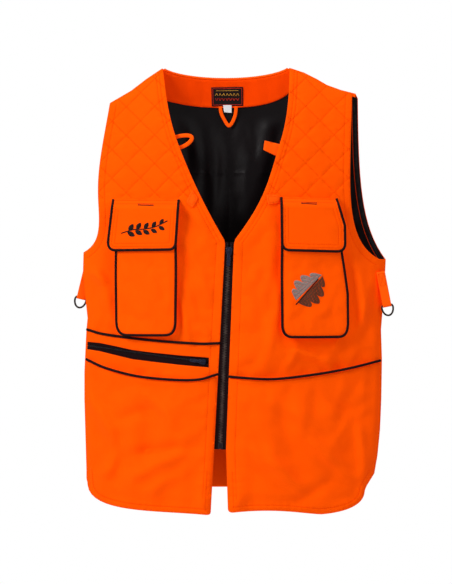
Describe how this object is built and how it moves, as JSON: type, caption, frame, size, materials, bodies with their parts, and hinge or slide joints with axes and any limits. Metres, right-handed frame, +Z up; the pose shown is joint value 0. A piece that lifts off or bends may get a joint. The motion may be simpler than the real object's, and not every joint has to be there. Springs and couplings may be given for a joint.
{
  "type": "field vest",
  "caption": "Sleeveless V-neck field vest with quilted shoulders, a full front zip, flap chest pockets, a slanted zip pocket, deep lower pockets and side D-rings.",
  "frame": {"origin": "middle of the neck, level with the two neck points where the shoulder seams start", "axes": "+Z up as the vest hangs, -Y out of its front, +X to the wearer's left"},
  "size_m": [0.5465, 0.1061, 0.762],
  "materials": {
    "orange_twill": "matt fluorescent orange twill",
    "black_lining": "smooth black lining with a slight sheen",
    "wadding": "soft white wadding",
    "zip_tape": "woven black tape",
    "dark_piping": "black covered cord",
    "zip_plastic": "moulded black plastic",
    "dark_metal": "antique dark plating",
    "label": "woven label",
    "white_tag": "white printed tape, blank",
    "hook_and_loop": "hook and loop tape"
  },
  "bodies": {
    "root": {"back_panel": "orange_twill", "back_lining": "black_lining", "neck_facing": "orange_twill", "back_hem_facing": "orange_twill", "collar_binding": "orange_twill", "neck_label": "label", "size_tag": "white_tag", "right_yoke": "orange_twill", "right_yoke_wadding": "wadding", "right_yoke_lining": "black_lining", "right_neck_loop": "orange_twill", "right_shoulder_seam": "orange_twill", "right_side_seam": "orange_twill", "left_yoke": "orange_twill", "left_yoke_wadding": "wadding", "left_yoke_lining": "black_lining", "left_neck_loop": "orange_twill", "left_shoulder_seam": "orange_twill", "left_side_seam": "orange_twill", "right_side_strap": "orange_twill"},
    "right_front": {"right_front_panel": "orange_twill", "right_front_lining": "black_lining", "right_lower_pocket": "orange_twill", "right_chest_pocket": "orange_twill", "right_pocket_piping": "dark_piping", "right_chest_tab": "orange_twill", "right_pocket_loop_strip": "hook_and_loop", "right_zip_tape": "zip_tape", "right_zip_teeth": "zip_plastic", "right_upper_piping": "dark_piping", "right_lower_piping": "dark_piping", "zip_pocket_bag": "black_lining", "pocket_zip_upper_tape": "zip_tape", "pocket_zip_lower_tape": "zip_tape"},
    "left_front": {"left_front_panel": "orange_twill", "left_front_lining": "black_lining", "left_lower_pocket": "orange_twill", "left_chest_pocket": "orange_twill", "left_pocket_piping": "dark_piping", "left_chest_tab": "orange_twill", "left_pocket_loop_strip": "hook_and_loop", "left_zip_tape": "zip_tape", "left_zip_teeth": "zip_plastic", "left_waist_piping": "dark_piping", "retainer_box": "zip_plastic", "left_side_strap": "orange_twill"},
    "right_flap": {"right_flap": "orange_twill", "right_flap_piping": "dark_piping", "right_flap_hook_strip": "hook_and_loop"},
    "left_flap": {"left_flap": "orange_twill", "left_flap_piping": "dark_piping", "left_flap_hook_strip": "hook_and_loop"},
    "zip_slider": {"zip_slider": "zip_plastic"},
    "zip_pull": {"zip_pull": "zip_plastic"},
    "pocket_zip_slider": {"pocket_zip_slider": "zip_plastic"},
    "pocket_zip_pull": {"pocket_zip_pull": "zip_plastic"},
    "right_d_ring": {"right_d_ring": "dark_metal"},
    "left_d_ring": {"left_d_ring": "dark_metal"},
    "hanger_loop": {"hanger_loop": "orange_twill"}
  },
  "joints": [
    {"name": "right_front_open", "type": "hinge", "parent": "root", "child": "right_front", "pos_m": [-0.2485, 0, -0.4], "axis": [0, 0, -1], "range_deg": [0, 75]},
    {"name": "left_front_open", "type": "hinge", "parent": "root", "child": "left_front", "pos_m": [0.2745, 0, -0.327], "axis": [0.0335, 0, 0.9994], "range_deg": [0, 75]},
    {"name": "main_zip_slide", "type": "slide", "parent": "left_front", "child": "zip_slider", "axis": [-0.0448, 0.0007, -0.999], "range_m": [0, 0.318], "deforming": ["right_zip_teeth", "left_zip_teeth"]},
    {"name": "main_zip_pull_swing", "type": "hinge", "parent": "zip_slider", "child": "zip_pull", "pos_m": [0.00503, -0.05063, -0.31299], "axis": [-0.9989, 0.0134, 0.0448], "range_deg": [0, 150]},
    {"name": "pocket_zip_slide", "type": "hinge", "parent": "right_front", "child": "pocket_zip_slider", "pos_m": [0.01722, 0.69628, -0.50861], "axis": [-0.1358, 0, -0.9907], "range_deg": [0, 14.2], "deforming": ["pocket_zip_upper_tape", "pocket_zip_lower_tape"]},
    {"name": "pocket_zip_pull_swing", "type": "hinge", "parent": "pocket_zip_slider", "child": "pocket_zip_pull", "pos_m": [-0.04012, -0.04871, -0.50077], "axis": [0.1352, -0.0078, 0.9908], "range_deg": [0, 150]},
    {"name": "right_flap_open", "type": "hinge", "parent": "right_front", "child": "right_flap", "pos_m": [-0.136, -0.03626, -0.2255], "axis": [-0.9784, 0.2067, 0.0091], "range_deg": [0, 130]},
    {"name": "left_flap_open", "type": "hinge", "parent": "left_front", "child": "left_flap", "pos_m": [0.1408, -0.041, -0.223], "axis": [-0.9848, -0.1723, 0.0218], "range_deg": [0, 130]},
    {"name": "right_d_ring_swing", "type": "hinge", "parent": "root", "child": "right_d_ring", "pos_m": [-0.248, 0.0112, -0.392], "axis": [0.9724, 0, -0.2334], "range_deg": [-20, 120]},
    {"name": "left_d_ring_swing", "type": "hinge", "parent": "left_front", "child": "left_d_ring", "pos_m": [0.2745, -0.0114, -0.405], "axis": [-0.9819, 0, -0.1895], "range_deg": [-20, 120]},
    {"name": "hanger_loop_swing", "type": "hinge", "parent": "root", "child": "hanger_loop", "pos_m": [0.0035, 0.0284, -0.066], "axis": [-1, 0, 0], "range_deg": [0, 100]}
  ]
}
